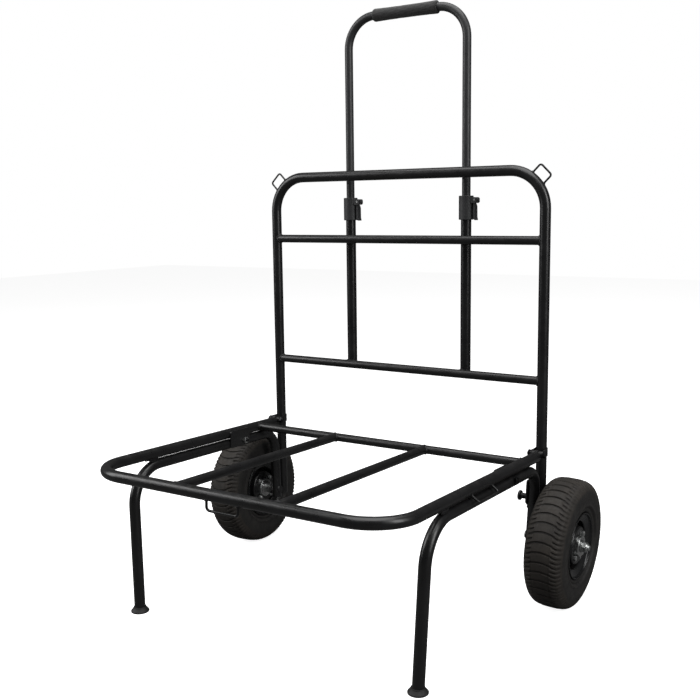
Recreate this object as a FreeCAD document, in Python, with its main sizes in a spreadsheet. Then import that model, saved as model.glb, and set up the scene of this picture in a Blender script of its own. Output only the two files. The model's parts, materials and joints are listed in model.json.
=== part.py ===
import FreeCAD, Part
import math
import os
import re
import Sketcher

# Folding two-wheel luggage cart, in millimetres and degrees.
# +X to one side, +Y to the back where the handle is, +Z up. The floor is z = 0,
# and the origin is the centre of the cart's outline on the floor.
# The deck, its legs and the axles are one rigid frame, which stands pitched up
# by deck_pitch at the front. The back frame stands upright on a hinge behind the deck.

os.makedirs("parts", exist_ok=True)
doc = FreeCAD.newDocument("LuggageCart")

DIMENSIONS = {
    # tube stock
    "tube_outside": 22,
    "tube_bore": 19,
    "bar_outside": 18,
    "bar_bore": 15,
    "half_width": 331,
    # back frame
    "post_bottom": 118,
    "top_rail": 869.7,
    "back_bend": 76,
    "upper_bar": 730.7,
    "lower_bar": 447.7,
    "plug_flange": 3,
    # handle, sleeves and clamps
    "sleeve_spread": 144,
    "sleeve_back": 29.7,
    "sleeve_bottom": 438,
    "spacer": 14,
    "clamp_bottom": 772,
    "clamp_length": 50,
    "clamp_diameter": 31,
    "sleeve_depth": 32,
    "clamp_bore": 18.6,
    "handle_top": 1210.3,
    "handle_bend": 66,
    "handle_bottom": 650,
    "grip": 27.4,
    "grip_waist": 25.6,
    "grip_round": 3,
    "grip_length": 155,
    "lever_out": 22.5,
    "lever_rise": 40.5,
    "lever_pin": 4,
    "lever_head": 11.4,
    "lever_reach": 42,
    "lever_gauge": 3.5,
    "ear_height": 12.4,
    "ear_margin": 4.5,
    "ear_width": 18,
    "slot_width": 10.2,
    # deck
    "deck_height": 296.1,
    "deck_pitch": 1.84,
    "deck_length": 611.6,
    "deck_bend": 86,
    "deck_end": 31,
    "rear_rail": 93.6,
    "deck_bar_spread": 111.5,
    # leg frames, which lean in towards the floor
    "leg_drop": 23.4,
    "leg_front": 493.2,
    "leg_lean": 2.4,
    "front_bend": 74,
    "rear_bend": 43,
    "leg_rear": 28.5,
    "leg_tail": 158,
    "foot_floor": 4,
    "foot_height": 10.5,
    "foot_base": 36.5,
    "foot_neck": 25,
    "foot_edge": 2.8,
    # wire loops
    "corner_wire": 4,
    "corner_loop_half": 16,
    "corner_loop_rise": 21,
    "deck_wire": 5,
    "front_loop_half": 35,
    "front_loop_drop": 28.5,
    "side_loop_half": 42,
    "side_loop_reach": 29,
    "side_loop_tilt": 35,
    "side_loop_middle": 304,
    # hinge between deck and back frame
    "pivot_forward": 22,
    "pivot_rise": 5,
    "strap_gauge": 2,
    "strap_height": 15,
    "bush": 13,
    "lug_gauge": 6,
    "lug_nose": 16,
    "pivot_bolt": 8,
    # lock plate and index plunger, on the right leg frame
    "lock_drop": 71.5,
    "lock_back": 2.9,
    "lock_gauge": 3.5,
    "lock_top": 26,
    "lock_bottom": 94,
    "lock_pin": 7,
    "lock_housing": 12,
    "lock_housing_length": 17.5,
    "lock_stem_length": 28,
    "lock_knob": 21,
    # brackets between rail and leg tube
    "bracket_gauge": 3,
    "bracket_bolt": 8,
    "bracket_bolt_back": 158,
    "bracket_bolt_drop": 19.4,
    "bracket_front": 206,
    "bracket_rear": 141,
    "bracket_drop": 31,
    "bracket_rise": 7,
    "saddle_back": 440,
    "saddle_width": 12,
    "saddle_length": 24,
    # axle and wheel
    "axle": 16,
    "axle_thread": 12,
    "axle_forward": 33.8,
    "axle_inner": 313.5,
    "axle_height": 130.5,
    "axle_outer": 448,
    "wheel_radius": 130,
    "wheel_track": 394.2,
    "tyre_width": 81,
    "hub_length": 75,
    "hub_diameter": 42,
    "bearing": 35,
    "bearing_width": 11,
    "rim_bolt": 6,
    "rim_bolt_circle": 56,
}

RUNNING = 0.05      # radial clearance of a running fit
M8_HEAD = (13, 5.3)  # across flats and height
M8_NUT = (13, 6.5)
SIDES = {"left": -1, "right": 1}
TURNS = {"x": ("0; 1; 0", 90), "y": ("1; 0; 0", -90), "z": ("0; 0; 1", 0)}

sheet = doc.addObject("Spreadsheet::Sheet", "Dims")
for row, (alias, size) in enumerate(DIMENSIONS.items(), start=1):
    sheet.set(f"A{row}", alias)
    sheet.set(f"B{row}", str(size))
    sheet.setAlias(f"B{row}", alias)
doc.recompute()

nodes = {}


# ---------------------------------------------------------------- expressions

def cells(text):
    """An expression's text with every alias of the sheet written in full."""
    def full(word):
        return f"Dims.{word.group()}" if word.group() in DIMENSIONS else word.group()
    return re.sub(r"[a-z][a-z_]*", full, str(text))


def value(text):
    """The number that an expression over the sheet gives."""
    return float(sheet.evalExpression(cells(text)))


def bind(thing, **sizes):
    for name, size in sizes.items():
        thing.setExpression(name, cells(size))


# Frames, as placement expressions: the floor under the back frame, the pitched
# deck about the foot of the back frame, and the axle.
BACK_Y = "(deck_length * cos(deck_pitch) + tube_outside / 2 + axle_forward - wheel_radius) / 2"
FLOOR = f"placement(vector(0; {BACK_Y}; 0); rotation(vector(0; 0; 1); 0))"
DECK = f"placement(vector(0; {BACK_Y}; deck_height); rotation(vector(1; 0; 0); 0 - deck_pitch))"
AXLE = f"placement(vector(0; {BACK_Y} - axle_forward; axle_height); rotation(vector(0; 0; 1); 0))"
HERE = "placement(vector(0; 0; 0); rotation(vector(0; 0; 1); 0))"


def shift(x=0, y=0, z=0, axis="0; 0; 1", angle=0):
    return f"placement(vector({x}; {y}; {z}); rotation(vector({axis}); {angle}))"


def leg_frame_of(side):
    """Frame on the axis of a leg frame's run, leaning with the leg frame."""
    return f"{DECK} * {shift(f'{side} * half_width', 0, '0 - leg_drop', '0; 1; 0', f'{side} * leg_lean')}"


def hinge_frame_of(side):
    """Frame on a pivot's axis, with its axes along the cart's."""
    spot = (f"{side} * half_width", "0 - pivot_forward", "pivot_rise")
    return f"{DECK} * {shift(*spot, '1; 0; 0', 'deck_pitch')}"


def clamp_frame_of(side):
    return f"{FLOOR} * {shift(f'{side} * sleeve_spread', 'sleeve_back', 'clamp_bottom')}"


def axle_frame_of(side):
    """Frame at a wheel's centre, its X along the axle, which is square to the leaning leg."""
    return f"{AXLE} * {shift(f'{side} * wheel_track', 0, 0, '0; 1; 0', f'{side} * leg_lean')}"


def wheel_frame_of(side):
    """The same frame turned so that +X points outwards."""
    return f"{axle_frame_of(side)} * {shift(0, 0, 0, '0; 0; 1', 90 - 90 * side)}"


POST_BACK = "(pivot_forward * cos(deck_pitch) - pivot_rise * sin(deck_pitch))"


def place(thing, frame, *spot):
    bind(thing, Placement=f"{frame} * {shift(*spot)}")
    return thing


def position(frame, x=0, y=0, z=0):
    """Numbers of a point given in a frame."""
    return sheet.evalExpression(cells(frame)).multVec(FreeCAD.Vector(x, y, z))


# ---------------------------------------------------------------- solids

def node(label, thing):
    thing.Label = label
    nodes[label] = thing
    return thing


def cylinder(radius, length, x=0, y=0, z=0, along="z", side=1):
    """A rod from a point along an axis, or against the X axis with side -1."""
    rod = doc.addObject("Part::Cylinder", "Cylinder")
    bind(rod, Radius=radius, Height=length)
    axis, angle = TURNS[along]
    return place(rod, HERE, x, y, z, axis, angle * side)


def ring(radius, bore, length, x=0, y=0, z=0, along="z", side=1):
    """A tube from a point along an axis."""
    hole = cylinder(bore, length, x, y, z, along, side)
    return cut(cylinder(radius, length, x, y, z, along, side), hole)


def hexagon(across, thickness, x=0, y=0, z=0, side=1):
    """A hexagonal prism along X, or against it."""
    prism = doc.addObject("Part::Prism", "Hexagon")
    prism.Polygon = 6
    bind(prism, Circumradius=f"({across}) / 2 / cos(30)", Height=thickness)
    return place(prism, HERE, x, y, z, "0; 1; 0", 90 * side)


def box(x, y, z, length, width, height):
    block = doc.addObject("Part::Box", "Box")
    bind(block, Length=length, Width=width, Height=height)
    return place(block, HERE, x, y, z)


def cut(base, *tools):
    for tool in tools:
        less = doc.addObject("Part::Cut", "Cut")
        less.Base = base
        less.Tool = tool
        base = less
    return base


def fuse(*things):
    whole = doc.addObject("Part::MultiFuse", "Fuse")
    whole.Shapes = list(things)
    whole.Refine = True
    return whole


def common(base, tool):
    both = doc.addObject("Part::Common", "Common")
    both.Base = base
    both.Tool = tool
    return both


def group(things):
    """Separate solids that share one node."""
    many = doc.addObject("Part::Compound", "Group")
    many.Links = list(things)
    return many


# ---------------------------------------------------------------- sketches

def new_body(frame=HERE, *spot):
    return place(doc.addObject("PartDesign::Body", "Body"), frame, *spot)


def new_sketch(body, plane, offset=0):
    """A sketch on one of the body's own origin planes, moved along its normal."""
    sketch = body.newObject("Sketcher::SketchObject", "Sketch")
    origin_plane = next(f for f in body.Origin.OriginFeatures if f.Role == f"{plane}_Plane")
    sketch.AttachmentSupport = [(origin_plane, "")]
    sketch.MapMode = "FlatFace"
    sketch.setExpression("AttachmentOffset.Base.z", cells(offset))
    return sketch


def pin(sketch, curve, point, x, y):
    """Fixes a point of a curve at expressions for its two distances from the origin."""
    for kind, distance in (("DistanceX", x), ("DistanceY", y)):
        rule = Sketcher.Constraint(kind, -1, 1, curve, point, value(distance))
        index = sketch.addConstraint(rule)
        sketch.setExpression(f"Constraints[{index}]", cells(distance))


def circle(sketch, x, y, diameter):
    centre = FreeCAD.Vector(value(x), value(y), 0)
    round_curve = Part.Circle(centre, FreeCAD.Vector(0, 0, 1), value(diameter) / 2)
    curve = sketch.addGeometry(round_curve)
    index = sketch.addConstraint(Sketcher.Constraint("Diameter", curve, value(diameter)))
    sketch.setExpression(f"Constraints[{index}]", cells(diameter))
    pin(sketch, curve, 3, x, y)


def trace(sketch, corners, closed=True):
    """Lines through corners, each (x, y) or (x, y, bend radius), every size bound."""
    count = len(corners)
    spots = [FreeCAD.Vector(value(corner[0]), value(corner[1]), 0) for corner in corners]
    radii = [value(corner[2]) if len(corner) > 2 else 0 for corner in corners]
    line_count = count if closed else count - 1
    ways = [(spots[(i + 1) % count] - spots[i]).normalize() for i in range(line_count)]
    inner = range(count) if closed else range(1, count - 1)
    turns = {i: ways[i - 1].getAngle(ways[i]) for i in inner}
    trims = [radii[i] * math.tan(turns[i] / 2) if i in turns else 0 for i in range(count)]
    lines = []
    for i in range(line_count):
        start = spots[i] + ways[i] * trims[i]
        end = spots[(i + 1) % count] - ways[i] * trims[(i + 1) % count]
        lines.append(sketch.addGeometry(Part.LineSegment(start, end)))
    for i in inner:
        before, after = lines[i - 1], lines[i]
        if not radii[i]:
            sketch.addConstraint(Sketcher.Constraint("Coincident", before, 2, after, 1))
            pin(sketch, after, 1, corners[i][0], corners[i][1])
            continue
        left = ways[i - 1].cross(ways[i]).z > 0
        outward = FreeCAD.Vector(ways[i - 1].y, -ways[i - 1].x, 0) * (1 if left else -1)
        centre = spots[i] - ways[i - 1] * trims[i] - outward * radii[i]
        first = math.atan2(outward.y, outward.x)
        span = (first, first + turns[i]) if left else (first - turns[i], first)
        round_curve = Part.Circle(centre, FreeCAD.Vector(0, 0, 1), radii[i])
        bend = sketch.addGeometry(Part.ArcOfCircle(round_curve, *span))
        arrives, leaves = (1, 2) if left else (2, 1)
        sketch.addConstraint(Sketcher.Constraint("Tangent", before, 2, bend, arrives))
        sketch.addConstraint(Sketcher.Constraint("Tangent", after, 1, bend, leaves))
        index = sketch.addConstraint(Sketcher.Constraint("Radius", bend, radii[i]))
        sketch.setExpression(f"Constraints[{index}]", cells(corners[i][2]))
        corner = sketch.addGeometry(Part.Point(spots[i]), True)
        sketch.addConstraint(Sketcher.Constraint("PointOnObject", corner, 1, before))
        sketch.addConstraint(Sketcher.Constraint("PointOnObject", corner, 1, after))
        pin(sketch, corner, 1, corners[i][0], corners[i][1])
    if not closed:
        pin(sketch, lines[0], 1, corners[0][0], corners[0][1])
        pin(sketch, lines[-1], 2, corners[-1][0], corners[-1][1])


def pad(body, sketch, length):
    feature = body.newObject("PartDesign::Pad", "Pad")
    feature.Profile = sketch
    bind(feature, Length=length)
    doc.recompute()
    return feature


def pocket(body, sketch, depth):
    """Cuts against the sketch's normal, and makes sure that something was cut."""
    before = body.Shape.Volume
    feature = body.newObject("PartDesign::Pocket", "Pocket")
    feature.Profile = sketch
    bind(feature, Length=depth)
    doc.recompute()
    if body.Shape.Volume > before - 0.1:
        raise RuntimeError(f"a pocket in {body.Name} cut nothing")
    return feature


def bent_tube(frame, spot, plane, corners, profile_plane, profile_offset, centre, *diameters):
    """A tube or wire swept along a bent path that starts on the profile's plane."""
    body = new_body(frame, *spot)
    path = new_sketch(body, plane)
    trace(path, corners, closed=False)
    profile = new_sketch(body, profile_plane, profile_offset)
    for diameter in diameters:
        circle(profile, *centre, diameter)
    pipe = body.newObject("PartDesign::AdditivePipe", "Pipe")
    pipe.Profile = profile
    pipe.Spine = (path, [])
    doc.recompute()
    swept = math.pi / 4 * value(diameters[0]) ** 2 * path.Shape.Length
    if len(diameters) > 1:
        swept -= math.pi / 4 * value(diameters[1]) ** 2 * path.Shape.Length
    if abs(body.Shape.Volume / swept - 1) > 0.002:
        raise RuntimeError(f"the sweep of {body.Name} has the wrong volume")
    return body


def turned(corners, frame=HERE, *spot):
    """A solid of revolution about X, from corners of (along X, radius)."""
    body = new_body(frame, *spot)
    profile = new_sketch(body, "XY")
    trace(profile, corners)
    feature = body.newObject("PartDesign::Revolution", "Revolution")
    feature.Profile = profile
    feature.ReferenceAxis = (profile, ["H_Axis"])
    feature.Angle = 360
    doc.recompute()
    return body


def plate(plane, offset, gauge, corners, holes=()):
    """A flat plate, padded along its plane's normal, with (x, y, diameter) holes."""
    body = new_body()
    outline = new_sketch(body, plane, offset)
    trace(outline, corners)
    for hole in holes:
        circle(outline, *hole)
    pad(body, outline, gauge)
    return body


def hex_bolt(across, head, diameter, length, side=1):
    """A bolt along X: the head lies beyond x = 0 and the shank runs back from it."""
    shank = cylinder(f"({diameter}) / 2", length, along="x", side=-side)
    return fuse(hexagon(across, head, side=side), shank)


def nut(across, thickness, bore, side=1):
    hole = cylinder(f"({bore}) / 2", thickness, along="x", side=side)
    return cut(hexagon(across, thickness, side=side), hole)


# ---------------------------------------------------------------- deck

def make_deck():
    deck_tube = bent_tube(
        DECK, (), "XY",
        [("0 - half_width", "0 - deck_end"),
         ("0 - half_width", "0 - deck_length", "deck_bend"),
         ("half_width", "0 - deck_length", "deck_bend"),
         ("half_width", "0 - deck_end")],
        "XZ", "deck_end", ("0 - half_width", 0), "tube_outside", "tube_bore")
    node("deck_frame", deck_tube)

    rail = new_body(DECK, 0, "0 - rear_rail", 0)
    section = new_sketch(rail, "YZ", "0 - half_width")
    circle(section, 0, 0, "bar_outside")
    circle(section, 0, 0, "bar_bore")
    pad(rail, section, "2 * half_width")
    saddles = new_sketch(rail, "XZ", "tube_outside")
    for side in SIDES.values():
        circle(saddles, f"{side} * half_width", 0, "tube_outside")
    pocket(rail, saddles, "2 * tube_outside")
    node("rear_deck_rail", rail)

    bars = []
    for side in SIDES.values():
        bar = new_body(DECK, f"{side} * deck_bar_spread")
        section = new_sketch(bar, "XZ", "rear_rail")
        circle(section, 0, 0, "bar_outside")
        circle(section, 0, 0, "bar_bore")
        pad(bar, section, "deck_length - rear_rail")
        saddles = new_sketch(bar, "YZ", "tube_outside")
        circle(saddles, "0 - rear_rail", 0, "bar_outside")
        circle(saddles, "0 - deck_length", 0, "tube_outside")
        pocket(bar, saddles, "2 * tube_outside")
        bars.append(bar)
    node("deck_bars", group(bars))


def make_deck_loops():
    wire_bend = 7
    front = bent_tube(
        DECK, (0, "0 - deck_length", 0), "XZ",
        [("0 - front_loop_half", "0 - tube_outside / 2"),
         ("0 - front_loop_half", "0 - front_loop_drop", wire_bend),
         ("front_loop_half", "0 - front_loop_drop", wire_bend),
         ("front_loop_half", "0 - tube_outside / 2")],
        "XY", "0 - tube_outside / 2", ("0 - front_loop_half", 0), "deck_wire")
    loops = [front]
    for side in SIDES.values():
        spot = (f"{side} * half_width", "0 - side_loop_middle", 0, "0; 1; 0", f"{side} * side_loop_tilt")
        loops.append(bent_tube(
            DECK, spot, "XY",
            [(f"{side} * tube_outside / 2", "0 - side_loop_half"),
             (f"{side} * side_loop_reach", "0 - side_loop_half", wire_bend),
             (f"{side} * side_loop_reach", "side_loop_half", wire_bend),
             (f"{side} * tube_outside / 2", "side_loop_half")],
            "YZ", f"{side} * tube_outside / 2", ("0 - side_loop_half", 0), "deck_wire"))
    node("deck_loops", group(loops))


# ---------------------------------------------------------------- leg frames

def floor_reach(side):
    """Distance from the run's axis down the leg's axis to the floor."""
    frame = leg_frame_of(side)
    knee = position(frame, 0, -value("leg_front"), 0)
    down = knee - position(frame, 0, -value("leg_front"), -1)
    return knee.z / down.z


def axle_hole(radius, side):
    """A rod that fills an axle's hole through its leg tube."""
    rod = cylinder(radius, "axle_outer - axle_inner", along="x", side=side)
    start = f"{side} * (axle_inner - wheel_track)"
    return place(rod, axle_frame_of(side), start, 0, 0, "0; 1; 0", 90 * side)


def leg_rod(radius, side, y, bottom, length):
    """A rod along a leg frame's upright direction."""
    rod = cylinder(radius, length)
    return place(rod, leg_frame_of(side), 0, y, bottom)


def make_leg_frame(name, side):
    reach = floor_reach(side)
    bottom = f"foot_floor - {reach}"
    tube = bent_tube(
        leg_frame_of(side), (), "YZ",
        [("0 - leg_front", bottom), ("0 - leg_front", 0, "front_bend"),
         ("0 - leg_rear", 0, "rear_bend"), ("0 - leg_rear", "0 - leg_tail")],
        "XY", bottom, (0, "0 - leg_front"), "tube_outside", "tube_bore")
    bolt_hole = new_sketch(tube, "YZ", "tube_outside")
    circle(bolt_hole, "0 - bracket_bolt_back", "leg_drop - bracket_bolt_drop", "bracket_bolt + 1.2")
    pocket(tube, bolt_hole, "2 * tube_outside")
    node(f"{name}_leg_frame", cut(tube, axle_hole("axle / 2", side)))

    centre = position(leg_frame_of(side), 0, -value("leg_front"), -reach)
    foot = new_body(HERE, centre.x, centre.y, 0)
    profile = new_sketch(foot, "XZ")
    trace(profile, [(0, 0), ("foot_base / 2", 0, 1.2), ("foot_base / 2", "foot_edge", 1),
                    ("foot_neck / 2 + 0.8", "foot_height - 2", 3), ("foot_neck / 2", "foot_height"),
                    (0, "foot_height")])
    revolution = foot.newObject("PartDesign::Revolution", "Revolution")
    revolution.Profile = profile
    revolution.ReferenceAxis = (profile, ["V_Axis"])
    revolution.Angle = 360
    socket = leg_rod("tube_outside / 2", side, "0 - leg_front", bottom, 40)
    node(f"{name}_foot", cut(foot, socket))


def make_brackets():
    plates = []
    bolts = []
    nuts = []
    saddles = []
    for side in SIDES.values():
        inner = "half_width - tube_outside / 2 - bracket_gauge"
        offset = inner if side > 0 else "0 - half_width + tube_outside / 2"
        bracket = plate("YZ", offset, "bracket_gauge",
                        [("0 - bracket_front", "0 - bracket_drop", 5),
                         ("0 - bracket_rear", "0 - bracket_drop", 5),
                         ("0 - bracket_rear", "bracket_rise", 5),
                         ("0 - bracket_front", "bracket_rise", 5)],
                        [("0 - bracket_bolt_back", "0 - bracket_bolt_drop", "bracket_bolt")])
        plates.append(place(bracket, DECK))
        bolt = hex_bolt(*M8_HEAD, "bracket_bolt", "tube_outside + bracket_gauge + 9", side)
        spot = (f"{side} * (half_width + tube_outside / 2)", "0 - bracket_bolt_back", "0 - bracket_bolt_drop")
        bolts.append(place(bolt, DECK, *spot))
        lock_nut = nut(*M8_NUT, "bracket_bolt", -side)
        spot = (f"{side} * (half_width - tube_outside / 2 - bracket_gauge)",
                "0 - bracket_bolt_back", "0 - bracket_bolt_drop")
        nuts.append(place(lock_nut, DECK, *spot))

        filler = box("0 - saddle_width / 2", "0 - saddle_length / 2", "0 - leg_drop",
                     "saddle_width", "saddle_length", "leg_drop")
        rail = cylinder("tube_outside / 2", "2 * saddle_length", 0, "0 - saddle_length", 0, "y")
        run = cylinder("tube_outside / 2", "2 * saddle_length", 0, "0 - saddle_length", "0 - leg_drop", "y")
        saddle = cut(filler, rail, run)
        saddles.append(place(saddle, DECK, f"{side} * half_width", "0 - saddle_back", 0))
    node("frame_brackets", group(plates))
    node("bracket_bolts", group(bolts))
    node("bracket_nuts", group(nuts))
    node("rail_saddles", group(saddles))


# ---------------------------------------------------------------- hinge

def make_hinges():
    lugs = []
    straps = []
    bolts = []
    nuts = []
    bushes = []
    for side in SIDES.values():
        shank_half = 8.9
        shank_front = -60
        tongue = plate("YZ", "0 - lug_gauge / 2", "lug_gauge",
                       [(shank_front, -shank_half), ("0 - pivot_forward", -shank_half, 1),
                        ("lug_nose / 2 - pivot_forward", "pivot_rise - lug_nose / 2", 7.5),
                        ("lug_nose / 2 - pivot_forward", "pivot_rise + lug_nose / 2", 7.5),
                        ("0 - pivot_forward - lug_nose / 2", "pivot_rise + lug_nose / 2", 2),
                        ("0 - deck_end", shank_half), (shank_front, shank_half)],
                       [("0 - pivot_forward", "pivot_rise", f"pivot_bolt + 2 * {RUNNING}")])
        lugs.append(place(tongue, DECK, f"{side} * half_width"))

        wrap = "tube_outside / 2 + strap_gauge"
        outer = fuse(cylinder(wrap, "strap_height", 0, POST_BACK, "0 - strap_height / 2"),
                     box(f"0 - ({wrap})", "0 - strap_height / 2", "0 - strap_height / 2",
                         f"2 * ({wrap})", f"{POST_BACK} + strap_height / 2", "strap_height"))
        inner = fuse(cylinder("tube_outside / 2", "strap_height", 0, POST_BACK, "0 - strap_height / 2"),
                     box("0 - tube_outside / 2", "0 - strap_height / 2", "0 - strap_height / 2",
                         "tube_outside", f"{POST_BACK} + strap_height / 2", "strap_height"))
        behind = "2 * tube_outside"
        side_view = plate("YZ", "0 - tube_outside", "2 * tube_outside",
                          [("0 - strap_height / 2", "0 - strap_height / 2", "strap_height / 2 - 0.5"),
                           (behind, "0 - strap_height / 2"), (behind, "strap_height / 2"),
                           ("0 - strap_height / 2", "strap_height / 2", "strap_height / 2 - 0.5")],
                          [(0, 0, "pivot_bolt")])
        strap = common(cut(outer, inner), side_view)
        straps.append(place(strap, hinge_frame_of(side)))

        bolt = hex_bolt(*M8_HEAD, "pivot_bolt", f"2 * ({wrap}) + 8", side)
        bolts.append(place(bolt, hinge_frame_of(side), f"{side} * ({wrap})"))
        lock_nut = nut(*M8_NUT, "pivot_bolt", -side)
        nuts.append(place(lock_nut, hinge_frame_of(side), f"{-side} * ({wrap})"))
        for end in (-1, 1):
            bush = ring("bush / 2", f"pivot_bolt / 2 + {RUNNING}", "tube_outside / 2 - lug_gauge / 2 - 0.3",
                        f"{end} * (lug_gauge / 2 + 0.2)", 0, 0, "x", end)
            bushes.append(place(bush, hinge_frame_of(side)))
    node("hinge_lugs", group(lugs))
    node("hinge_straps", group(straps))
    node("pivot_bolts", group(bolts))
    node("pivot_nuts", group(nuts))
    node("pivot_bushes", group(bushes))


# ---------------------------------------------------------------- lock

def make_lock():
    """Lock plate with a spring plunger, drawn outwards along X from the leg tube's axis."""
    side = SIDES["right"]
    plate_inner = "tube_outside / 2 + lock_gauge"
    lock = plate("YZ", f"0 - ({plate_inner})", "lock_gauge",
                 [(-38, "0 - lock_top", 3), (-38, "22 - lock_bottom", 6), (-8, "0 - lock_bottom", 6),
                  (8, "6 - lock_bottom", 6), (14, "18 - lock_bottom", 6), (14, "0 - lock_top", 3)],
                 [("lock_back", "0 - lock_drop", f"lock_pin + 2 * {RUNNING}")])
    node("lock_plate", place(lock, leg_frame_of(side)))

    along = (leg_frame_of(side), f"0 - ({plate_inner})", "lock_back", "0 - lock_drop", "0; 0; 1", 180)
    stem = "lock_pin / 2 - 1"
    bore = "lock_housing / 2 - 1.1"
    face = "lock_housing_length"
    neck = "lock_housing_length - 2.5"
    housing = turned([(0, bore), (0, "lock_housing / 2"), (face, "lock_housing / 2", 1),
                      (face, f"{stem} + {RUNNING}"), (neck, f"{stem} + {RUNNING}"), (neck, bore)], *along)
    node("plunger_housing", housing)

    tip = "0 - lock_gauge + 0.3"
    collar = f"{bore} - 0.2"
    pin_body = turned([(tip, 0), (tip, "lock_pin / 2", 0.8), (1, "lock_pin / 2"), (1, collar), (3, collar),
                       (3, stem), ("lock_stem_length", stem), ("lock_stem_length", 0)], *along)
    node("plunger_pin", pin_body)
    socket = f"{stem} + 0.02"
    flange = "lock_stem_length - 3"
    cap = "lock_stem_length + 2.5"
    knob = turned([(f"{face} + 0.3", socket), (f"{face} + 0.3", "lock_housing / 2", 1),
                   (f"{flange} - 0.5", "lock_housing / 2", 1), (flange, "lock_knob / 2", 1.5),
                   (cap, "lock_knob / 2", 2), (cap, 0), ("lock_stem_length + 0.02", 0),
                   ("lock_stem_length + 0.02", socket)], *along)
    node("plunger_knob", knob)
    make_spring(along)


def make_spring(along):
    """The plunger's coil spring, between the pin's collar and the housing's end."""
    coil_length = 11
    turns = 4
    wire = 0.7
    frame, *spot = along
    spring = new_body(f"{frame} * {shift(*spot)}", 3.5, 0, 0)
    section = new_sketch(spring, "XY")
    circle(section, 0, 3.6, wire)
    coil = spring.newObject("PartDesign::AdditiveHelix", "Coil")
    coil.Profile = section
    coil.ReferenceAxis = (section, ["H_Axis"])
    coil.Mode = 0
    coil.Pitch = coil_length / turns
    coil.Height = coil_length
    doc.recompute()
    node("plunger_spring", spring)


# ---------------------------------------------------------------- back frame

def make_back_frame():
    hoop = bent_tube(
        FLOOR, (), "XZ",
        [("0 - half_width", "post_bottom"), ("0 - half_width", "top_rail", "back_bend"),
         ("half_width", "top_rail", "back_bend"), ("half_width", "post_bottom")],
        "XY", "post_bottom", ("0 - half_width", 0), "tube_outside", "tube_bore")
    hole = cylinder("lock_pin / 2 + 0.8", "2 * tube_outside")
    height = position(leg_frame_of(1), 0, value("lock_back"), -value("lock_drop")).z
    place(hole, FLOOR, "half_width - tube_outside", 0, height, "0; 1; 0", 90)
    node("back_frame", cut(hoop, hole))

    for name in ("upper", "lower"):
        bar = new_body(FLOOR, 0, 0, f"{name}_bar")
        section = new_sketch(bar, "YZ", "0 - half_width")
        circle(section, 0, 0, "bar_outside")
        circle(section, 0, 0, "bar_bore")
        pad(bar, section, "2 * half_width")
        saddles = new_sketch(bar, "XY", "tube_outside")
        for side in SIDES.values():
            circle(saddles, f"{side} * half_width", 0, "tube_outside")
        pocket(bar, saddles, "2 * tube_outside")
        node(f"{name}_crossbar", bar)

    plugs = []
    for side in SIDES.values():
        flange = cylinder("tube_outside / 2", "plug_flange")
        stem = cylinder("tube_bore / 2", 14)
        plug = fuse(flange, stem)
        plugs.append(place(plug, FLOOR, f"{side} * half_width", 0, "post_bottom - plug_flange"))
    node("post_plugs", group(plugs))


def make_corner_loops():
    half_loop = value("corner_loop_half")
    loop_top = "back_bend + tube_outside / 2 + corner_loop_rise"
    loop_foot = "back_bend + tube_outside / 2 - 1.1"
    loops = []
    for side in SIDES.values():
        spot = (f"{side} * (half_width - back_bend)", 0, "top_rail - back_bend", "0; 1; 0", 45 * side)
        loops.append(bent_tube(
            FLOOR, spot, "XZ",
            [(-half_loop, loop_foot), (-half_loop, loop_top, 5),
             (half_loop, loop_top, 5), (half_loop, loop_foot)],
            "XY", loop_foot, (-half_loop, 0), "corner_wire"))
    node("corner_loops", group(loops))


# ---------------------------------------------------------------- handle

def make_sleeves():
    spacers = []
    for name, side in SIDES.items():
        sleeve = ring("tube_outside / 2", "tube_bore / 2", "clamp_bottom + sleeve_depth - sleeve_bottom")
        node(f"{name}_sleeve",
             place(sleeve, FLOOR, f"{side} * sleeve_spread", "sleeve_back", "sleeve_bottom"))
        for height in ("upper_bar", "lower_bar"):
            block = box("0 - spacer / 2", 0, "0 - spacer / 2", "spacer", "sleeve_back", "spacer")
            bar = cylinder("bar_outside / 2", "2 * spacer", "0 - spacer", 0, 0, "x")
            tube = cylinder("tube_outside / 2", "2 * spacer", 0, "sleeve_back", "0 - spacer")
            spacer = cut(block, bar, tube)
            spacers.append(place(spacer, FLOOR, f"{side} * sleeve_spread", 0, height))
    node("sleeve_spacers", group(spacers))


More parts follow.
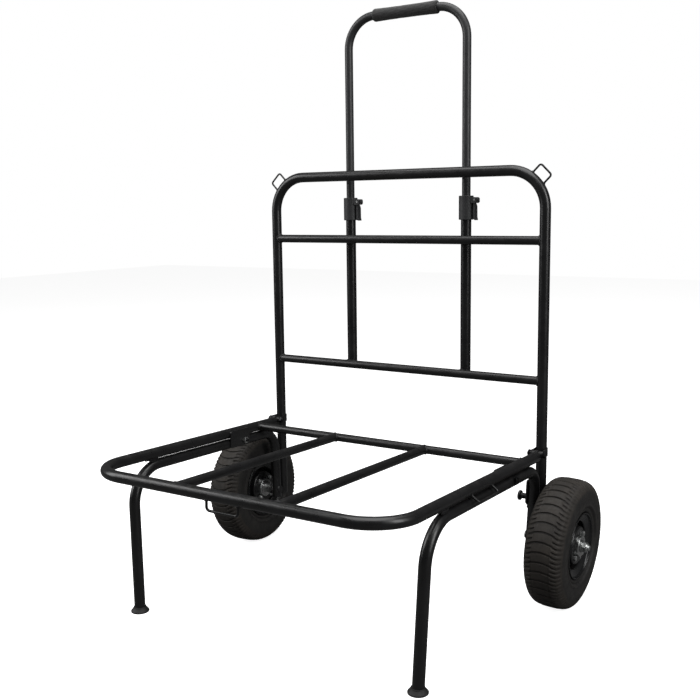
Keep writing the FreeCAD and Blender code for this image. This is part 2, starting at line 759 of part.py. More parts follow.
def make_clamp(name, side):
    """Plastic clamp on a sleeve's top, split towards +X, with two ears for its lever."""
    clamp = new_body(clamp_frame_of(side))
    collar = new_sketch(clamp, "XZ")
    trace(collar, [(0, 0), ("clamp_diameter / 2", 0, 1.2),
                   ("clamp_diameter / 2", "clamp_length", 1.2), (0, "clamp_length")])
    revolution = clamp.newObject("PartDesign::Revolution", "Revolution")
    revolution.Profile = collar
    revolution.ReferenceAxis = (collar, ["V_Axis"])
    revolution.Angle = 360
    doc.recompute()
    ears = new_sketch(clamp, "XZ", "0 - ear_width / 2")
    ear_end = "lever_out + ear_margin"
    trace(ears, [(0, "lever_rise - ear_height / 2"), (ear_end, "lever_rise - ear_height / 2", 4),
                 (ear_end, "lever_rise + ear_height / 2", 4), (0, "lever_rise + ear_height / 2")])
    circle(ears, "lever_out", "lever_rise", "lever_pin")
    pad(clamp, ears, "ear_width")
    seat = new_sketch(clamp, "XY", "sleeve_depth")
    circle(seat, 0, 0, "tube_outside")
    pocket(clamp, seat, "sleeve_depth")
    bore = new_sketch(clamp, "XY", "clamp_length")
    circle(bore, 0, 0, "clamp_bore")
    pocket(clamp, bore, "clamp_length")
    slot = new_sketch(clamp, "XY", "lever_rise + lever_head / 2 + 3")
    slot_floor = "lever_out - lever_head / 2 - 0.4"
    slot_mouth = "lever_out + 2 * ear_margin"
    trace(slot, [(slot_floor, "0 - slot_width / 2"), (slot_mouth, "0 - slot_width / 2"),
                 (slot_mouth, "slot_width / 2"), (slot_floor, "slot_width / 2")])
    pocket(clamp, slot, "lever_head + 6")
    split = new_sketch(clamp, "XY", "clamp_length")
    split_half = 1
    trace(split, [(8, -split_half), (20, -split_half), (20, split_half), (8, split_half)])
    pocket(clamp, split, "clamp_length")
    node(f"{name}_clamp", clamp)


def make_lever(name, side):
    """Cam lever that hangs beside the clamp, about its pin's axis along Y."""
    lever = new_body(clamp_frame_of(side), "lever_out", 0, "lever_rise")
    head_width = "slot_width - 0.6"
    head = new_sketch(lever, "XZ", f"0 - ({head_width}) / 2")
    circle(head, 0, 0, "lever_head")
    circle(head, 0, 0, f"lever_pin + 2 * {RUNNING}")
    pad(lever, head, head_width)
    inner = "0 - lever_gauge"
    arm = new_sketch(lever, "XZ", f"0 - ({head_width}) / 2")
    trace(arm, [(inner, -4), (-0.8, -4), (-1.6, -9), (0, -14), (inner, -14)])
    pad(lever, arm, head_width)
    half_paddle = 7
    shoulder = "0 - ear_height / 2 - 1.3"
    paddle = new_sketch(lever, "XZ", -half_paddle)
    trace(paddle, [(inner, shoulder), (-1.4, shoulder), (0.2, -13, 6), (0.4, "7 - lever_reach", 12),
                   (1.8, "1.5 - lever_reach", 1), (1, "0 - lever_reach", 0.8), (inner, "4 - lever_reach", 8)])
    pad(lever, paddle, 2 * half_paddle)
    node(f"{name}_lever", lever)


def make_handle():
    handle = bent_tube(
        FLOOR, (0, "sleeve_back", 0), "XZ",
        [("0 - sleeve_spread", "handle_bottom"), ("0 - sleeve_spread", "handle_top", "handle_bend"),
         ("sleeve_spread", "handle_top", "handle_bend"), ("sleeve_spread", "handle_bottom")],
        "XY", "handle_bottom", ("0 - sleeve_spread", 0), "bar_outside", "bar_bore")
    node("handle_tube", handle)

    outline = [("0 - grip_length / 2", "bar_outside / 2"),
               ("0 - grip_length / 2", "grip / 2", "grip_round"),
               ("0 - grip_length / 6", "grip_waist / 2", 200),
               ("grip_length / 6", "grip_waist / 2", 200),
               ("grip_length / 2", "grip / 2", "grip_round"),
               ("grip_length / 2", "bar_outside / 2")]
    grip = turned(outline, FLOOR, 0, "sleeve_back", "handle_top")
    node("handle_grip", grip)

    bushes = []
    flange = 5
    for side in SIDES.values():
        stem = 22
        bush = fuse(cylinder("tube_bore / 2 - 0.1", flange), cylinder("bar_bore / 2", stem))
        spot = (f"{side} * sleeve_spread", "sleeve_back", f"handle_bottom - {flange}")
        bushes.append(place(bush, FLOOR, *spot))
    node("handle_bushes", group(bushes))


def make_lever_pins():
    pins = []
    for side in SIDES.values():
        rod = cylinder("lever_pin / 2", "ear_width + 1.6")
        spot = ("lever_out", "0 - ear_width / 2 - 0.8", "lever_rise")
        pins.append(place(rod, clamp_frame_of(side), *spot, *TURNS["y"]))
    node("lever_pins", group(pins))


# ---------------------------------------------------------------- axles and wheels

HUB_FACE = "(hub_length / 2 + 0.5)"
WASHER = 2.5
AXLE_NUT = 10.5
M12_NUT_ACROSS = 19


def make_axles():
    """Axles and what is on them, along X from each wheel's centre."""
    axles = []
    spacers = []
    washers = []
    nuts = []
    for side in SIDES.values():
        frame = axle_frame_of(side)
        start = "axle_inner - wheel_track"
        rod = cylinder("axle / 2", f"{HUB_FACE} - ({start})", along="x", side=side)
        thread = cylinder("axle_thread / 2", "axle_outer - axle_inner", along="x", side=side)
        axles.append(place(fuse(rod, thread), frame, f"{side} * ({start})"))

        start = "half_width - 3 - wheel_track"
        spacer = ring(10.5, "axle / 2", f"0 - hub_length / 2 - 0.3 - ({start})", along="x", side=side)
        place(spacer, frame, f"{side} * ({start})")
        tube = leg_rod("tube_outside / 2", side, "0 - leg_rear", "0 - leg_tail", "leg_tail / 2")
        spacers.append(cut(spacer, tube))

        washer = ring(12, "axle_thread / 2", WASHER, along="x", side=side)
        washers.append(place(washer, frame, f"{side} * {HUB_FACE}"))
        lock_nut = nut(M12_NUT_ACROSS, AXLE_NUT, "axle_thread", side)
        nuts.append(place(lock_nut, frame, f"{side} * ({HUB_FACE} + {WASHER})"))
    node("axles", group(axles))
    node("axle_spacers", group(spacers))
    node("axle_washers", group(washers))
    node("axle_nuts", group(nuts))


RIM_FACE = 31
M6_HEAD = (10, 4)
M6_NUT = (10, 6)


def rim_half(frame, flip):
    """Pressed steel half rim: boss for the hub, cone, well and flange."""
    corners = [(RIM_FACE, "hub_diameter / 2"), (RIM_FACE, 38, 4), (5, 44.5, 1.5), (5, 48, 1.5), (27, 48, 3),
               (32, 62.5, 3), (37, 64.5, 1), (36.5, 67, 1), (29.6, 65.2, 4), (25, 50.5, 3),
               (0.1, 50.5, 2), (0.1, 42.5, 2), (28.5, 35.5, 4), (28.5, "hub_diameter / 2")]
    half = turned(corners, frame, 0, 0, 0, "0; 0; 1", flip)
    holes = new_sketch(half, "YZ", 40)
    for quarter in range(4):
        turn = 45 + 90 * quarter
        circle(holes, f"rim_bolt_circle / 2 * cos({turn})", f"rim_bolt_circle / 2 * sin({turn})", "rim_bolt")
    pocket(half, holes, 20)
    return half


def mirrored(corners):
    return [(f"0 - ({x})", *rest) for x, *rest in reversed(corners)]


def make_wheel(name, side):
    frame = wheel_frame_of(side)
    side_wall = "tyre_width / 2"
    half_tread = [(20, 51.2), (24.2, 51.2, 1), (28.8, 66, 1), (f"{side_wall} - 5.5", 71, 4),
                  (side_wall, 84, 12), (side_wall, 108, 14), (f"{side_wall} - 9", "wheel_radius - 3", 10),
                  (f"{side_wall} - 26", "wheel_radius", 30)]
    half_cavity = [(25, "wheel_radius - 9", 8), (f"{side_wall} - 7", 106, 12), (f"{side_wall} - 7", 86, 10),
                   (19, 64, 5)]
    corners = half_tread + mirrored(half_tread) + mirrored(half_cavity) + half_cavity
    node(f"{name}_tyre", turned(corners, frame))
    node(f"{name}_outer_rim", rim_half(frame, 0))
    node(f"{name}_inner_rim", rim_half(frame, 180))

    half_hub = "hub_length / 2"
    seat = f"{half_hub} - bearing_width"
    hub = turned([(f"0 - {half_hub}", "bearing / 2"), (f"0 - {half_hub}", "hub_diameter / 2", 1),
                  (half_hub, "hub_diameter / 2", 1), (half_hub, "bearing / 2"), (seat, "bearing / 2"),
                  (seat, 14), (f"0 - ({seat})", 14), (f"0 - ({seat})", "bearing / 2")], frame)
    node(f"{name}_hub", hub)

    bearings = []
    bolts = []
    nuts = []
    for end in (-1, 1):
        race = ring("bearing / 2", f"axle / 2 + {RUNNING}", "bearing_width", 0, 0, 0, "x", end)
        bearings.append(place(race, frame, f"{end} * ({seat})"))
    for quarter in range(4):
        turn = 45 + 90 * quarter
        y = f"rim_bolt_circle / 2 * cos({turn})"
        z = f"rim_bolt_circle / 2 * sin({turn})"
        bolts.append(place(hex_bolt(*M6_HEAD, "rim_bolt", 2 * RIM_FACE + 9), frame, RIM_FACE, y, z))
        nuts.append(place(nut(*M6_NUT, "rim_bolt", -1), frame, -RIM_FACE, y, z))
    node(f"{name}_bearings", group(bearings))
    node(f"{name}_rim_bolts", group(bolts))
    node(f"{name}_rim_nuts", group(nuts))


# ---------------------------------------------------------------- whole cart

def check_and_export():
    doc.recompute()
    for thing in doc.Objects:
        if "Invalid" in thing.State or "Error" in thing.State:
            raise RuntimeError(f"{thing.Name} ({thing.Label}) failed: {thing.State}")
    whole = FreeCAD.BoundBox()
    for label, thing in nodes.items():
        shape = thing.Shape
        if shape.isNull() or not shape.isValid() or not shape.Solids:
            raise RuntimeError(f"{label} has no valid solid")
        whole.add(shape.optimalBoundingBox(False, False))
        shape.exportStep(f"parts/{label}.step")
        print(f"{label:24s} solids {len(shape.Solids)}  volume {shape.Volume / 1000:9.2f} cm3")
    print("nodes", len(nodes))
    print("box", [round(number, 2) for number in (whole.XMin, whole.YMin, whole.ZMin)],
          [round(number, 2) for number in (whole.XMax, whole.YMax, whole.ZMax)])


make_deck()
make_deck_loops()
make_brackets()
make_hinges()
make_lock()
make_back_frame()
make_corner_loops()
make_sleeves()
make_handle()
make_lever_pins()
make_axles()
for name, side in SIDES.items():
    make_leg_frame(name, side)
    make_clamp(name, side)
    make_lever(name, side)
    make_wheel(name, side)
check_and_export()
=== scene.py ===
import json
import math
import random

import bmesh
import bpy
from mathutils import Matrix, Vector


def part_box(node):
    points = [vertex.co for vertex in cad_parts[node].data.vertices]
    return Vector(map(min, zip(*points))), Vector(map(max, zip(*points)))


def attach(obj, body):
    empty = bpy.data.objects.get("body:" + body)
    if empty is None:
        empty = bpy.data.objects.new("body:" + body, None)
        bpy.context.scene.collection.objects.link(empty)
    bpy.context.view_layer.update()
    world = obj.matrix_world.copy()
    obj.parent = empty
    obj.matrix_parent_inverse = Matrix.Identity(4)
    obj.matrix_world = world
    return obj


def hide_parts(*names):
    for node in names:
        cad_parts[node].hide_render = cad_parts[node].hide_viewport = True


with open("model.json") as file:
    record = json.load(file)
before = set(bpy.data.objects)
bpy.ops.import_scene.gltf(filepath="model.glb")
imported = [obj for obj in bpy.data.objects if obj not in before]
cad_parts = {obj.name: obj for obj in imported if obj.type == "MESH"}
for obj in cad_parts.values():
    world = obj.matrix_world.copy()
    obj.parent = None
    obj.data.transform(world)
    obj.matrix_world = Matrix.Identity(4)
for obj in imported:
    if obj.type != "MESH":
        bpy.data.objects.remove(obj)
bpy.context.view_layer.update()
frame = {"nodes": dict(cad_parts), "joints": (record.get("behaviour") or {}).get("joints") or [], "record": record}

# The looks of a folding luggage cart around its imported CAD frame, in metres.
# +X to one side, +Y to the back, +Z up, with the floor at z = 0.

SIDES = {"left": -1, "right": 1}
TURN = 2 * math.pi
X = Vector((1, 0, 0))
Y = Vector((0, 1, 0))
Z = Vector((0, 0, 1))
draw = random.Random(11)


# ---------------------------------------------------------------- places in the frame

def middle(node):
    low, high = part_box(node)
    return (low + high) / 2


def size(node):
    low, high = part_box(node)
    return high - low


SAME_POINT = 1e-6


def solids(node, local=Matrix()):
    """(lowest, highest) corner of each separate solid of a CAD node in a local frame, in order of X."""
    inverse = local.inverted()
    mesh = bmesh.new()
    mesh.from_mesh(frame["nodes"][node].data)
    bmesh.ops.remove_doubles(mesh, verts=mesh.verts, dist=SAME_POINT)
    left = set(mesh.verts)
    boxes = []
    while left:
        queue = [left.pop()]
        found = [inverse @ queue[0].co]
        while queue:
            for edge in queue.pop().link_edges:
                for vert in edge.verts:
                    if vert in left:
                        left.remove(vert)
                        queue.append(vert)
                        found.append(inverse @ vert.co)
        low = Vector([min(co[i] for co in found) for i in range(3)])
        high = Vector([max(co[i] for co in found) for i in range(3)])
        boxes.append((low, high))
    mesh.free()
    return sorted(boxes, key=lambda pair: pair[0].x)


def own_solid(node, local):
    """The solid of a node shared by both sides that is nearer to a local frame."""
    return min(solids(node, local), key=lambda pair: (pair[0] + pair[1]).length)


# Radii of the two tubes. Rails, posts, legs and sleeves have the first. Crossbars, deck bars and handle
# have the second.
TUBE = size("left_sleeve").x / 2
BAR = size("upper_crossbar").z / 2
HALF_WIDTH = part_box("back_frame")[1].x - TUBE
BACK = middle("back_frame").y
PITCH = math.asin((size("deck_frame").z - 2 * TUBE) / (size("deck_frame").y - TUBE))
DECK = Matrix.Rotation(-PITCH, 4, "X")
FORWARD = DECK @ Vector((0, -1, 0))
UPWARD = DECK @ Vector((0, 0, 1))
RAIL = middle("rear_deck_rail")
DECK_LENGTH = (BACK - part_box("deck_frame")[0].y - TUBE) / math.cos(PITCH)
# The side rails' rear ends, the leg run's drop below them, the leg's rear tube and the top rail's bends.
DECK_END = 0.031
LEG_DROP = 0.0234
LEG_REAR = 0.0285
BACK_BEND = 0.076
TOP_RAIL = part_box("back_frame")[1].z - TUBE
JOINTS = {joint["name"]: joint for joint in frame["joints"]}
LEAN = -math.asin(JOINTS["right_wheel_turn"]["axis"][2])


def on_deck(x, back, up=0.0):
    """A point given along the pitched deck: back is the distance forwards of the back frame."""
    start = Vector((0, RAIL.y, RAIL.z)) - FORWARD * deck_place(RAIL.y)
    return start + FORWARD * back + UPWARD * up + Vector((x, 0, 0))


def deck_place(y):
    """How far along the pitched deck, forwards of the back frame, a level distance y reaches."""
    return (BACK - y) / math.cos(PITCH)


def leg_frame(side):
    """Frame on the axis of a leg frame's run, at the back frame, leaning with the leg frame."""
    start = on_deck(side * HALF_WIDTH, 0, -LEG_DROP)
    return Matrix.Translation(start) @ DECK @ Matrix.Rotation(side * LEAN, 4, "Y")


def wheel_frame(name, side):
    """Frame at a wheel's centre with X along its axle, pointing outwards."""
    lean = Matrix.Rotation(side * LEAN, 4, "Y")
    return Matrix.Translation(JOINTS[f"{name}_wheel_turn"]["pos_m"]) @ lean @ facing(side)


def facing(side):
    return Matrix.Rotation(0 if side > 0 else math.pi, 4, "Z")


# ---------------------------------------------------------------- materials

class Look:
    """A procedural material around one Principled shader, on the object's own coordinates."""

    def __init__(self, name, **sockets):
        self.material = bpy.data.materials.new(name)
        self.material.use_nodes = True
        self.tree = self.material.node_tree
        self.shader = self.tree.nodes["Principled BSDF"]
        self.place = self.add("ShaderNodeTexCoord").outputs["Object"]
        for socket, value in sockets.items():
            self.shader.inputs[socket.replace("_", " ")].default_value = value

    def add(self, kind, **settings):
        node = self.tree.nodes.new(kind)
        for name, value in settings.items():
            setattr(node, name, value)
        return node

    def join(self, value, socket):
        """Links an output to a socket, or sets the socket to a plain value."""
        if isinstance(value, bpy.types.NodeSocket):
            self.tree.links.new(value, socket)
        else:
            socket.default_value = value

    def noise(self, scale, detail=2.0, stretch=(1, 1, 1)):
        mapping = self.add("ShaderNodeMapping")
        mapping.inputs["Scale"].default_value = stretch
        self.join(self.place, mapping.inputs["Vector"])
        node = self.add("ShaderNodeTexNoise")
        node.inputs["Scale"].default_value = scale
        node.inputs["Detail"].default_value = detail
        self.join(mapping.outputs["Vector"], node.inputs["Vector"])
        return node.outputs["Fac"]

    def cells(self, scale):
        node = self.add("ShaderNodeTexVoronoi")
        node.inputs["Scale"].default_value = scale
        self.join(self.place, node.inputs["Vector"])
        return node.outputs["Distance"]

    def spread(self, value, low, high, to_low=0.0, to_high=1.0):
        """Clamped linear step from low..high to to_low..to_high."""
        node = self.add("ShaderNodeMapRange")
        self.join(value, node.inputs["Value"])
        ends = (("From Min", low), ("From Max", high), ("To Min", to_low), ("To Max", to_high))
        for name, end in ends:
            node.inputs[name].default_value = end
        return node.outputs["Result"]

    def maths(self, operation, first, second):
        node = self.add("ShaderNodeMath", operation=operation)
        self.join(first, node.inputs[0])
        self.join(second, node.inputs[1])
        return node.outputs[0]

    def mix(self, factor, first, second):
        node = self.add("ShaderNodeMix", data_type="RGBA")
        self.join(factor, node.inputs[0])
        self.join(first if isinstance(first, bpy.types.NodeSocket) else (*first, 1), node.inputs[6])
        self.join(second if isinstance(second, bpy.types.NodeSocket) else (*second, 1), node.inputs[7])
        return node.outputs[2]

    def attribute(self, name):
        return self.add("ShaderNodeAttribute", attribute_name=name).outputs["Fac"]

    def facing_up(self):
        """0 on walls and undersides to 1 on level tops."""
        normal = self.add("ShaderNodeNewGeometry").outputs["Normal"]
        split = self.add("ShaderNodeSeparateXYZ")
        self.join(normal, split.inputs[0])
        return self.spread(split.outputs["Z"], 0.45, 1.0)

    def rounded(self, radius):
        """The normal with its sharp edges rounded, and a mask of those edges."""
        bevel = self.add("ShaderNodeBevel", samples=4)
        bevel.inputs["Radius"].default_value = radius
        dot = self.add("ShaderNodeVectorMath", operation="DOT_PRODUCT")
        self.join(bevel.outputs["Normal"], dot.inputs[0])
        self.join(self.add("ShaderNodeNewGeometry").outputs["Normal"], dot.inputs[1])
        return bevel.outputs["Normal"], self.spread(dot.outputs["Value"], 0.985, 0.86)

    def bump(self, height, distance, strength=1.0, normal=None):
        node = self.add("ShaderNodeBump")
        node.inputs["Strength"].default_value = strength
        node.inputs["Distance"].default_value = distance
        self.join(height, node.inputs["Height"])
        if normal is not None:
            self.join(normal, node.inputs["Normal"])
        return node.outputs["Normal"]

    def finish(self, colour, roughness, normal):
        self.join(colour, self.shader.inputs["Base Color"])
        self.join(roughness, self.shader.inputs["Roughness"])
        self.join(normal, self.shader.inputs["Normal"])
        return self.material


WORN_EDGE = (0.07, 0.068, 0.065)
DUST = (0.06, 0.057, 0.052)


def painted(name, dark, light, roughness, peel=0.00005):
    """Powder coat: fine orange peel, a little dust on top, thin bare-looking wear at edges."""
    look = Look(name)
    normal, edges = look.rounded(0.0008)
    colour = look.mix(look.spread(look.noise(14, 4), 0.35, 0.65), dark, light)
    dust = look.maths("MULTIPLY", look.facing_up(), look.spread(look.noise(70, 6), 0.45, 0.8, 0, 0.22))
    colour = look.mix(dust, colour, DUST)
    chips = look.maths("MULTIPLY", edges, look.spread(look.noise(260, 3), 0.5, 0.62, 0, 0.55))
    colour = look.mix(chips, colour, WORN_EDGE)
    mottle = look.spread(look.noise(48, 5), 0.3, 0.7, roughness - 0.05, roughness + 0.07)
    rough = look.maths("ADD", mottle, look.maths("MULTIPLY", dust, 0.6))
    grain = look.maths("ADD", look.noise(850, 2), look.maths("MULTIPLY", look.noise(240, 2), 0.8))
    return look.finish(colour, rough, look.bump(grain, peel, 0.6, normal))


def moulded(name, dark, light, roughness, grain, depth):
    """Moulded plastic or rubber with a fine texture, and a painted highlight that lightens every sharp edge."""
    look = Look(name)
    normal, edges = look.rounded(0.0009)
    colour = look.mix(look.spread(look.noise(90, 4), 0.35, 0.65), dark, light)
    # Painted highlight: every rounded edge is mixed towards a colour three times the light tone.
    colour = look.mix(look.maths("MULTIPLY", edges, 0.35), colour, tuple(3 * part for part in light))
    rough = look.spread(look.noise(180, 3), 0.3, 0.7, roughness - 0.06, roughness + 0.08)
    return look.finish(colour, rough, look.bump(look.noise(grain, 3), depth, 0.7, normal))


def plated(name, dark, light, roughness):
    """Plated steel: cloudy passivation, fine drawn lines, and a painted highlight that brightens the rounded
    edges.
    """
    look = Look(name, Metallic=1.0)
    normal, edges = look.rounded(0.0006)
    colour = look.mix(look.spread(look.noise(130, 5), 0.3, 0.7), dark, light)
    # Painted highlight: the rounded edges are mixed towards a brighter tone.
    colour = look.mix(look.maths("MULTIPLY", edges, 0.4), colour, tuple(min(1, 1.2 * part) for part in light))
    rough = look.spread(look.noise(320, 4), 0.3, 0.7, roughness - 0.07, roughness + 0.12)
    lines = look.noise(900, 2, stretch=(0.15, 1, 1))
    return look.finish(colour, rough, look.bump(lines, 0.00003, 0.5, normal))


def foam(name):
    """Closed-cell foam: open pores, mottled, with a soft sheen."""
    look = Look(name, Sheen_Weight=0.25, Sheen_Roughness=0.6, Specular_IOR_Level=0.25)
    pores = look.spread(look.cells(1150), 0.12, 0.5)
    colour = look.mix(pores, (0.004, 0.004, 0.0042), (0.015, 0.0148, 0.015))
    colour = look.mix(look.spread(look.noise(60, 5), 0.5, 0.75, 0, 0.35), colour, (0.026, 0.025, 0.025))
    height = look.maths("ADD", pores, look.maths("MULTIPLY", look.noise(2600, 2), 0.5))
    return look.finish(colour, look.spread(pores, 0, 1, 0.95, 0.82), look.bump(height, 0.0002, 0.8))


def tyre_rubber(name):
    """Tyre rubber: brownish dust over the tread, painted shade darkening the grooves, and blacker sidewalls."""
    look = Look(name, Specular_IOR_Level=0.4)
    mottle = look.spread(look.noise(55, 5), 0.35, 0.65)
    colour = look.mix(mottle, (0.0125, 0.012, 0.0115), (0.021, 0.0195, 0.018))
    tread = look.spread(look.attribute("tread"), 0.1, 0.9, 0, 0.55)
    colour = look.mix(look.maths("MULTIPLY", tread, look.noise(28, 5)), colour, (0.052, 0.041, 0.031))
    # Painted shade: the grooves are mixed towards a darker colour than the rubber.
    groove = look.spread(look.attribute("groove"), 0.1, 0.9, 0, 0.55)
    colour = look.mix(groove, colour, (0.0075, 0.0065, 0.006))
    rough = look.spread(look.noise(150, 4), 0.3, 0.7, 0.6, 0.8)
    return look.finish(colour, rough, look.bump(look.noise(1100, 4), 0.00012, 0.7))


LOOKS = {
    "frame_paint": painted("frame_paint", (0.0065, 0.0065, 0.0068), (0.0105, 0.0105, 0.011), 0.3),
    "handle_paint": painted("handle_paint", (0.022, 0.0225, 0.0235), (0.03, 0.0305, 0.032), 0.42),
    "rim_paint": painted("rim_paint", (0.006, 0.006, 0.0065), (0.01, 0.01, 0.0108), 0.24, 0.00003),
    "clamp_plastic": moulded("clamp_plastic", (0.026, 0.0265, 0.028), (0.034, 0.0345, 0.036),
                             0.52, 1500, 0.00012),
    "knob_plastic": moulded("knob_plastic", (0.009, 0.009, 0.009), (0.014, 0.014, 0.014), 0.45, 1400, 0.0001),
    "bush_plastic": moulded("bush_plastic", (0.009, 0.009, 0.009), (0.013, 0.013, 0.013), 0.5, 1400, 0.0001),
    "foot_rubber": moulded("foot_rubber", (0.007, 0.007, 0.007), (0.013, 0.0128, 0.0125), 0.62, 800, 0.00015),
    "grip_foam": foam("grip_foam"),
    "tyre_rubber": tyre_rubber("tyre_rubber"),
    "zinc_plate": plated("zinc_plate", (0.42, 0.43, 0.43), (0.62, 0.63, 0.62), 0.3),
    "black_oxide": plated("black_oxide", (0.02, 0.02, 0.021), (0.045, 0.045, 0.047), 0.36),
    "bearing_steel": plated("bearing_steel", (0.4, 0.4, 0.4), (0.55, 0.55, 0.55), 0.25),
    "spring_steel": plated("spring_steel", (0.3, 0.3, 0.3), (0.45, 0.45, 0.45), 0.3),
}

for row in frame["record"]["subparts"]:
    mesh = frame["nodes"][row["node"]].data
    mesh.materials.clear()
    mesh.materials.append(LOOKS[row["material_slot"]])


# ---------------------------------------------------------------- pieces

class Shape:
    """Vertices and faces gathered before they become one piece."""

    def __init__(self):
        self.points = []
        self.faces = []
        self.values = {}

    def grid(self, rows, wrap=False):
        """Quads over closed rows of points; wrap joins the last row to the first."""
        start = len(self.points)
        across = len(rows[0])
        for row in rows:
            self.points.extend(row)
        last = len(rows) if wrap else len(rows) - 1
        for i in range(last):
            for j in range(across):
                a = start + i * across + j
                b = start + i * across + (j + 1) % across
                c = start + (i + 1) % len(rows) * across + (j + 1) % across
                d = start + (i + 1) % len(rows) * across + j
                self.faces.append((a, b, c, d))
        return start, across

    def cap(self, first, count, flip=False):
        ring = list(range(first, first + count))
        self.faces.append(tuple(reversed(ring)) if flip else tuple(ring))

    def solid(self, rows):
        """A closed solid from rings of points, with both ends capped."""
        start, across = self.grid(rows)
        self.cap(start, across, flip=True)
        self.cap(start + (len(rows) - 1) * across, across)


def piece(name, shape, slot, body, replaces=(), sharp=35):
    mesh = bpy.data.meshes.new(name)
    mesh.from_pydata([tuple(point) for point in shape.points], [], shape.faces)
    for label, values in shape.values.items():
        layer = mesh.attributes.new(label, "FLOAT", "POINT")
        layer.data.foreach_set("value", values)
    clean = bmesh.new()
    clean.from_mesh(mesh)
    bmesh.ops.recalc_face_normals(clean, faces=clean.faces)
    clean.to_mesh(mesh)
    clean.free()
    mesh.shade_smooth()
    mesh.set_sharp_from_angle(angle=math.radians(sharp))
    mesh.materials.append(LOOKS[slot])
    thing = bpy.data.objects.new(name, mesh)
    bpy.context.scene.collection.objects.link(thing)
    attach(thing, body)
    if replaces:
        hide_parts(*replaces)
    return thing


def ring_points(count, radius, x=0.0):
    """A circle about the X axis."""
    return [Vector((x, radius * math.cos(TURN * i / count), radius * math.sin(TURN * i / count)))
            for i in range(count)]


def moved(rows, matrix):
    return [[matrix @ point for point in row] for row in rows]


def lathed(shape, profile, matrix, count=48, closed=False):
    """Turns (along X, radius) corners about X. A closed profile makes a ring."""
    rows = moved([ring_points(count, radius, x) for x, radius in profile], matrix)
    if closed:
        shape.grid(rows, wrap=True)
    else:
        shape.solid(rows)


def smooth_line(corners, steps):
    """Points of a Catmull-Rom line through corners of any dimension."""
    points = [Vector(corner) for corner in corners]
    ends = [2 * points[0] - points[1]] + points + [2 * points[-1] - points[-2]]
    line = []
    for i in range(1, len(ends) - 2):
        a, b, c, d = ends[i - 1:i + 3]
        for step in range(steps):
            t = step / steps
            line.append(((2 * b) + (c - a) * t + (2 * a - 5 * b + 4 * c - d) * t * t
                         + (3 * b - a - 3 * c + d) * t ** 3) / 2)
    line.append(points[-1])
    return line


# ---------------------------------------------------------------- weld beads

# radii of the beads' sections
WELD = 0.0017
LINE_WELD = 0.0013
PLATE_WELD = 0.0014
BRACKET_WELD = 0.0015
WIRE_WELD = 0.001
RIPPLE = 0.0021
RIPPLE_HEIGHT = 0.13
# sizes of the part's plates, wires and spacers that the beads follow
SPACER_HALF = 0.007
CORNER_LOOP_HALF = 0.016
CORNER_WIRE = 0.002
LOOP_WIRE = 0.0025
SIDE_LOOP_TILT = math.radians(35)
SADDLE_HALF = 0.006
BRACKET_CORNER = 0.006
BRACKET_WELD_UP = 0.0045
LOCK_WELD_SIDE = 0.0036
LOCK_WELD_TOP = 0.034
LOCK_WELD_FOOT = 0.084
AXLE_TO_LEG = 0.0136
AXLE_SPACER = 0.0105
LUG_WELD_SIDE = 0.0033
LUG_WELD_HALF = 0.0085


def bead(shape, path, radius=WELD, closed=True):
    """A rippled weld bead along a path, half sunk in the metal it joins."""
    count = len(path)
    total = count if closed else count - 1
    length = sum((path[(i + 1) % count] - path[i]).length for i in range(total))
    waves = max(2, round(length / RIPPLE))
    steps = waves * 4
    rows = []
    side = None
    for step in range(steps if closed else steps + 1):
        at = step / steps * total
        i = min(int(at), total - 1)
        a, b = path[i % count], path[(i + 1) % count]
        centre = a.lerp(b, at - i)
        along = (path[(i + 2) % count] - a) if closed else b - a
        along.normalize()
        if side is None:
            side = along.orthogonal().normalized()
        side = (side - along * side.dot(along)).normalized()
        other = along.cross(side)
        swell = 1 + RIPPLE_HEIGHT * math.cos(TURN * waves * step / steps) + draw.uniform(-0.05, 0.05)
        if not closed and step in (0, steps):
            swell *= 0.45
        rows.append(circle(centre, side, other, radius * swell, 8))
    if closed:
        shape.grid(rows, wrap=True)
    else:
        shape.solid(rows)


def circle(centre, side, other, radius, count):
    """Points of a circle in the plane of two directions."""
    points = []
    for i in range(count):
        angle = TURN * i / count
        points.append(centre + (side * math.cos(angle) + other * math.sin(angle)) * radius)
    return points


def saddle_bead(shape, point, along, across, radius, against):
    """Bead where a tube running along one direction meets a tube that runs across it."""
    normal = along.cross(across).normalized()
    path = []
    for i in range(48):
        angle = TURN * i / 48
        sideways = radius * math.sin(angle)
        rise = math.sqrt(max(against ** 2 - sideways ** 2, 0))
        path.append(point + along * (rise + 0.0004) + across * radius * math.cos(angle) + normal * sideways)
    bead(shape, path)


def wire_bead(shape, point, along, radius):
    """Small bead round a wire's foot."""
    side = along.orthogonal().normalized()
    bead(shape, circle(point, side, along.cross(side), radius, 20), WIRE_WELD)


def line_bead(shape, start, end, radius=LINE_WELD):
    bead(shape, [start.lerp(end, i / 6) for i in range(7)], radius, closed=False)


def along_bead(shape, middle_spot, half, radius=LINE_WELD):
    """Straight bead along the deck, half of it to each side of its middle."""
    line_bead(shape, middle_spot - FORWARD * half, middle_spot + FORWARD * half, radius)


def weld_crossbars(shape):
    for node in ("upper_crossbar", "lower_crossbar"):
        for side in SIDES.values():
            point = Vector((side * HALF_WIDTH, BACK, middle(node).z))
            saddle_bead(shape, point, X * -side, Z, BAR, TUBE)


def weld_sleeve_spacers(shape):
    bar_reach = math.sqrt(BAR ** 2 - SPACER_HALF ** 2)
    sleeve_front = middle("left_sleeve").y - math.sqrt(TUBE ** 2 - SPACER_HALF ** 2)
    for low, high in solids("sleeve_spacers"):
        centre = (low + high) / 2
        for end in (-1, 1):
            upright = Vector((centre.x + end * SPACER_HALF, sleeve_front, centre.z))
            line_bead(shape, upright - Z * SPACER_HALF, upright + Z * SPACER_HALF)
            level = Vector((centre.x, BACK + bar_reach, centre.z + end * SPACER_HALF))
            line_bead(shape, level - X * SPACER_HALF, level + X * SPACER_HALF)


